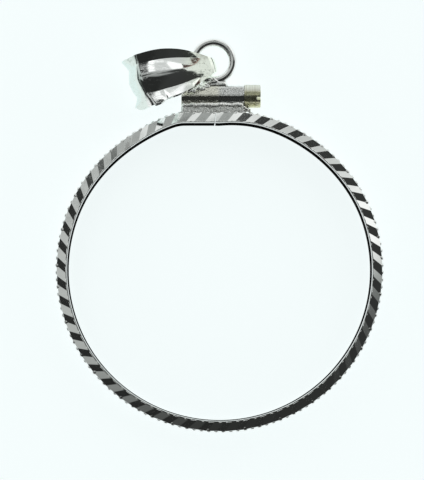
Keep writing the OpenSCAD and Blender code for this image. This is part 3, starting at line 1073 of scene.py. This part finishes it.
def bail_silver():
    """Bright polished silver with hairline scratches, a painted pale green reflection on the fold and the
    tip, and small rubs on the fold.
    """
    material, place = metal("polished_silver")
    x, y, _ = axes_of(place)
    scratches = mask("fine_scratches", place, Amount=1.0)
    stains = mask("tarnish_blotches", place, Scale=0.8, Cover=0.3)
    rubs = mask("tarnish_blotches", place, Scale=3.0, Cover=0.45)
    along = node("ShaderNodeVectorMath", {0: place, 1: TO_FOLD}, operation="DOT_PRODUCT")[1]
    fold = ramp(along, 3.5, 4.1)
    tip = ramp(along, -0.6, -2.8)
    flat = node("ShaderNodeCombineXYZ", {0: x, 1: y})[0]
    swirl = distance(flat, SWIRL_AT)
    swirl = plus(swirl, times(noise(place, 2.0), 0.3))
    swirl = times(between(swirl, 0.5, 0.6, 0.08), ramp(noise(place, 4.0), 0.4, 0.6))
    dull = times(largest(fold, tip), rubs)
    color = mixed(times(stains, 0.12), POLISHED, GREY_SILVER)
    # Painted reflection: pale green tints on the fold and the tip stand in for the bright surroundings they
    # reflect
    color = mixed(times(fold, 0.8), color, FOLD_REFLECTION_TINT)
    color = mixed(times(tip, 0.8), color, TIP_REFLECTION_TINT)
    color = mixed(times(dull, 0.3), color, RUBBED)
    marks = largest(times(scratches, 0.4), swirl)
    rough = plus(ramp(dull, 0, 1, 0.05, 0.3), times(marks, 0.35))
    height = minus(times(noise(place, 0.5, 1.0), 3), scratches)
    return finish(material, color, rough, height, 0.0006)


def worn_gilding():
    """The screw's pale greenish gilding, worn to grey streaks, with turned lines and dirt in the slot."""
    material, place = metal("worn_gilding")
    x, y, _ = axes_of(place)
    turning = turning_marks(x, 9.0)
    stains = mask("tarnish_blotches", place, Scale=1.5, Cover=0.5)
    hollow = mask("hollow_dirt", place, Reach=0.35, Amount=1.2)
    scratches = mask("fine_scratches", place, Amount=0.8)
    upper = ramp(y, BARREL_Y + 0.15, BARREL_Y + 0.7)
    worn = largest(times(upper, 0.95), times(stains, 0.4))
    color = mixed(worn, GILDING, WORN_GILDING)
    color = mixed(ramp(turning, 0.35, 0.6, 0.5, 0), color, GREY_LINES)
    color = mixed(hollow, color, DIRT_AND_SHADE)
    rough = ramp(largest(worn, scratches), 0, 1, 0.24, 0.42)
    return finish(material, color, rough, turning, 0.03)


def make_groups():
    for build in (scratch_group, hollow_group, stain_group, grain_group, turning_group):
        build()


# Camera, floor and light

CAMERA_AT = Vector((-2.1, -9.8, 210.0)) * MM
CAMERA_AIM = Vector((-0.93, 3.5, 1.6)) * MM
IMAGE_H = 480
SCALE_AT_AIM = 0.1215 * MM      # metres to a pixel at the aimed point
SENSOR = 36.0
FLOOR_Z = -1.72 * MM
FLOOR = {"Base Color": (0.3, 0.31, 0.312, 1), "Roughness": 0.95, "Specular IOR Level": 0.0,
         "Emission Color": (0.92, 0.99, 0.992, 1), "Emission Strength": 0.9}


def add_camera():
    data = bpy.data.cameras.new("camera")
    cam = bpy.data.objects.new("camera", data)
    bpy.context.scene.collection.objects.link(cam)
    forward = CAMERA_AIM - CAMERA_AT
    data.sensor_width = SENSOR
    data.lens = SENSOR * forward.length / (IMAGE_H * SCALE_AT_AIM)
    data.clip_start, data.clip_end = 0.005, 20
    side = forward.cross(Vector((0, 1, 0))).normalized()
    up = side.cross(forward).normalized()
    turn = Matrix((side, up, -forward.normalized())).transposed()
    cam.matrix_world = Matrix.Translation(CAMERA_AT) @ turn.to_4x4()
    bpy.context.scene.camera = cam


def add_floor():
    floor = primitive("floor", bpy.ops.mesh.primitive_plane_add, size=4, location=(0, 0, FLOOR_Z))
    material, _, shader = new_material("pale_floor")
    for key, value in FLOOR.items():
        shader.inputs[key].default_value = value
    floor.data.materials.append(material)


# The studio, as light levels by azimuth from +X: high walls, up to 41 degrees from overhead, and low
# walls, from 56 degrees on
WALLS = (41, 56)
HIGH_WALLS = [(-90, 0.03), (-30, 0.035), (52, 0.045), (58, 0.38), (75, 0.38), (90, 0.43), (105, 0.54),
              (140, 0.53), (163, 0.49), (176, 0.4), (189, 0.24), (202, 0.12), (217, 0.06), (232, 0.03),
              (270, 0.03)]
LOW_WALLS = [(-90, 0.02), (-25, 0.03), (0, 0.09), (13, 0.17), (19, 0.35), (27, 0.85), (32, 1.05),
             (46, 1.05), (58, 0.77), (67, 0.64), (80, 0.58), (92, 0.66), (104, 0.9), (109, 0.78), (120, 0.97),
             (136, 0.8), (142, 0.44), (149, 0.16), (161, 0.06), (168, 0.03), (270, 0.02)]
# In a strip between them hang two bright lamps with a paler gap, and a pale screen at their left: ends,
# softness and level
LAMPS = [(5.7, 9.3, 0.7, 1.2), (15.0, 21.8, 1.4, 1.2), (8.6, 16.0, 1.2, 0.63), (-45, -0.8, 1.5, 0.62)]
LAMP_LEAN, LEAN_FROM = 0.3, 51
# Patches: low end, high end and softness, first from overhead and then by azimuth
STRIP = (40.5, 57.3, 1.5), (17, 172, 9)
SKYLIGHT, SKYLIGHT_LEVEL = ((22, 29.5, 3), (28, 64, 10)), 0.36
# And these two by how far across they lie, and then how far back
RAIL = (6.5, 14, 1.5), (52.8, 60, 1)
CEILING, CEILING_LEVEL = ((-34, 11, 7), (3, 23, 6)), 0.5
SHADOW, SHADOW_EDGE, SHADOW_DEPTH = (66, 125, 6), (33.3, 35.3), 0.9
WARM, WARM_TINT = (46, 63, 6), (1.5, 0.88, 0.74, 1)
DARK_TOP, DARKEST = (18, 28), 0.022
LOW_SKY, LOW_SKY_LEVEL = (66, 73), 0.95
DIM_TINT, BRIGHT_TINT, BACKDROP = (0.93, 1.0, 0.96, 1), (0.975, 1.0, 0.99, 1), (0.9, 0.97, 0.975, 1)
DEGREES = 180 / math.pi


def by_azimuth(azimuth, stops):
    """Light level all round, from stops of azimuth and level."""
    color = node("ShaderNodeValToRGB", {"Fac": ramp(azimuth, -90, 270, kind="LINEAR")})["Color"]
    marks = color.node.color_ramp.elements
    while len(marks) < len(stops):
        marks.new(0.5)
    for mark, (angle, level) in zip(marks, stops):
        mark.position = (angle + 90) / 360
        mark.color = (level, level, level, 1)
    return color


def patch(first, second, spans):
    """1 inside a patch with soft edges."""
    return times(between(first, *spans[0]), between(second, *spans[1]))


def lamp_light(azimuth, across, back):
    """The lamps, which lean, a bright rail behind them, and a pale wall to the right of them."""
    lean = largest(minus(LEAN_FROM, back), 0)
    place = minus(across, times(lean, LAMP_LEAN))
    level = ramp(azimuth, 43, 51, 0.8, 0.04)
    for low, high, soft, strength in LAMPS:
        level = largest(level, times(between(place, low, high, soft), strength))
    return largest(level, patch(across, back, RAIL))


def blended(share, first, second):
    """first where share is 0, second where it is 1."""
    return plus(first, times(minus(second, first), share))


def sky_places(tree):
    """A direction's azimuth and degrees from overhead, and how many of those go across and back."""
    where = node("ShaderNodeTexCoord", tree=tree)["Generated"]
    x, y, z = axes_of(where)
    turn = times(math_node("ARCTAN2", y, x), DEGREES)
    azimuth = minus(math_node("FLOORED_MODULO", plus(turn, 90), 360), 90)
    from_top = times(math_node("ARCCOSINE", z), DEGREES)
    level_part = math_node("SQRT", minus(1, times(z, z)))
    degrees_out = math_node("DIVIDE", from_top, largest(level_part, 0.001))
    return azimuth, from_top, times(x, degrees_out), times(y, degrees_out)


def studio_level(strip, azimuth, from_top, across, back):
    """How bright the studio is in a direction."""
    walls = [by_azimuth(azimuth, stops) for stops in (HIGH_WALLS, LOW_WALLS)]
    level = blended(ramp(from_top, *WALLS), *walls)
    level = blended(strip, level, lamp_light(azimuth, across, back))
    shadow = times(between(azimuth, *SHADOW), ramp(from_top, *SHADOW_EDGE, SHADOW_DEPTH, 0))
    level = times(level, minus(1, shadow))
    level = largest(level, times(patch(from_top, azimuth, SKYLIGHT), SKYLIGHT_LEVEL))
    level = times(level, ramp(from_top, *DARK_TOP))
    level = largest(level, times(patch(across, back, CEILING), CEILING_LEVEL))
    return largest(level, ramp(from_top, *LOW_SKY, 0, LOW_SKY_LEVEL), DARKEST)


def add_light():
    """A soft studio: pale walls and lamps behind the object, a dark room in front and overhead."""
    world = bpy.data.worlds.new("studio")
    bpy.context.scene.world = world
    world.use_nodes = True
    tree = world.node_tree
    azimuth, from_top, across, back = sky_places(tree)
    strip = patch(from_top, azimuth, STRIP)
    level = studio_level(strip, azimuth, from_top, across, back)
    warm = times(strip, between(azimuth, *WARM))
    warm = times(warm, ramp(level, 0.2, 0.5, 1, 0))
    tint = mixed(warm, mixed(level, DIM_TINT, BRIGHT_TINT), WARM_TINT)
    shade = node("ShaderNodeVectorMath", {0: tint, 1: level}, operation="MULTIPLY")[0]
    seen = node("ShaderNodeLightPath", tree=tree)["Is Camera Ray"]
    light = tree.nodes["Background"]
    tree.links.new(mixed(seen, shade, BACKDROP), light.inputs["Color"])
    light.inputs["Strength"].default_value = 1.0


bpy.context.scene.view_settings.view_transform = "Standard"
add_camera()
add_floor()
add_light()

make_groups()
gilding = worn_gilding()

splitter = split_cutter()
on_frame = ("frame", "bezel_silver", "bezel_frame")
finish_piece(bezel_ring(splitter), *on_frame, ring_silver())
finish_piece(reeded_edge(splitter), *on_frame, reed_silver())
finish_piece(barrel(splitter), *on_frame, sandy_silver())
solder = solder_silver()
finish_piece(solder_seam(splitter), *on_frame, solder)
finish_piece(solder_mound(splitter), *on_frame, solder)
finish_piece(jump_ring(), *on_frame, wire_silver())
finish_piece(screw_head(), "screw", "screw_brass", "screw", gilding)
finish_piece(screw_shank(), "screw", "screw_brass", "screw", gilding)
finish_piece(bail(), "bail", "bail_silver", "bail", bail_silver())
bpy.data.objects.remove(splitter)
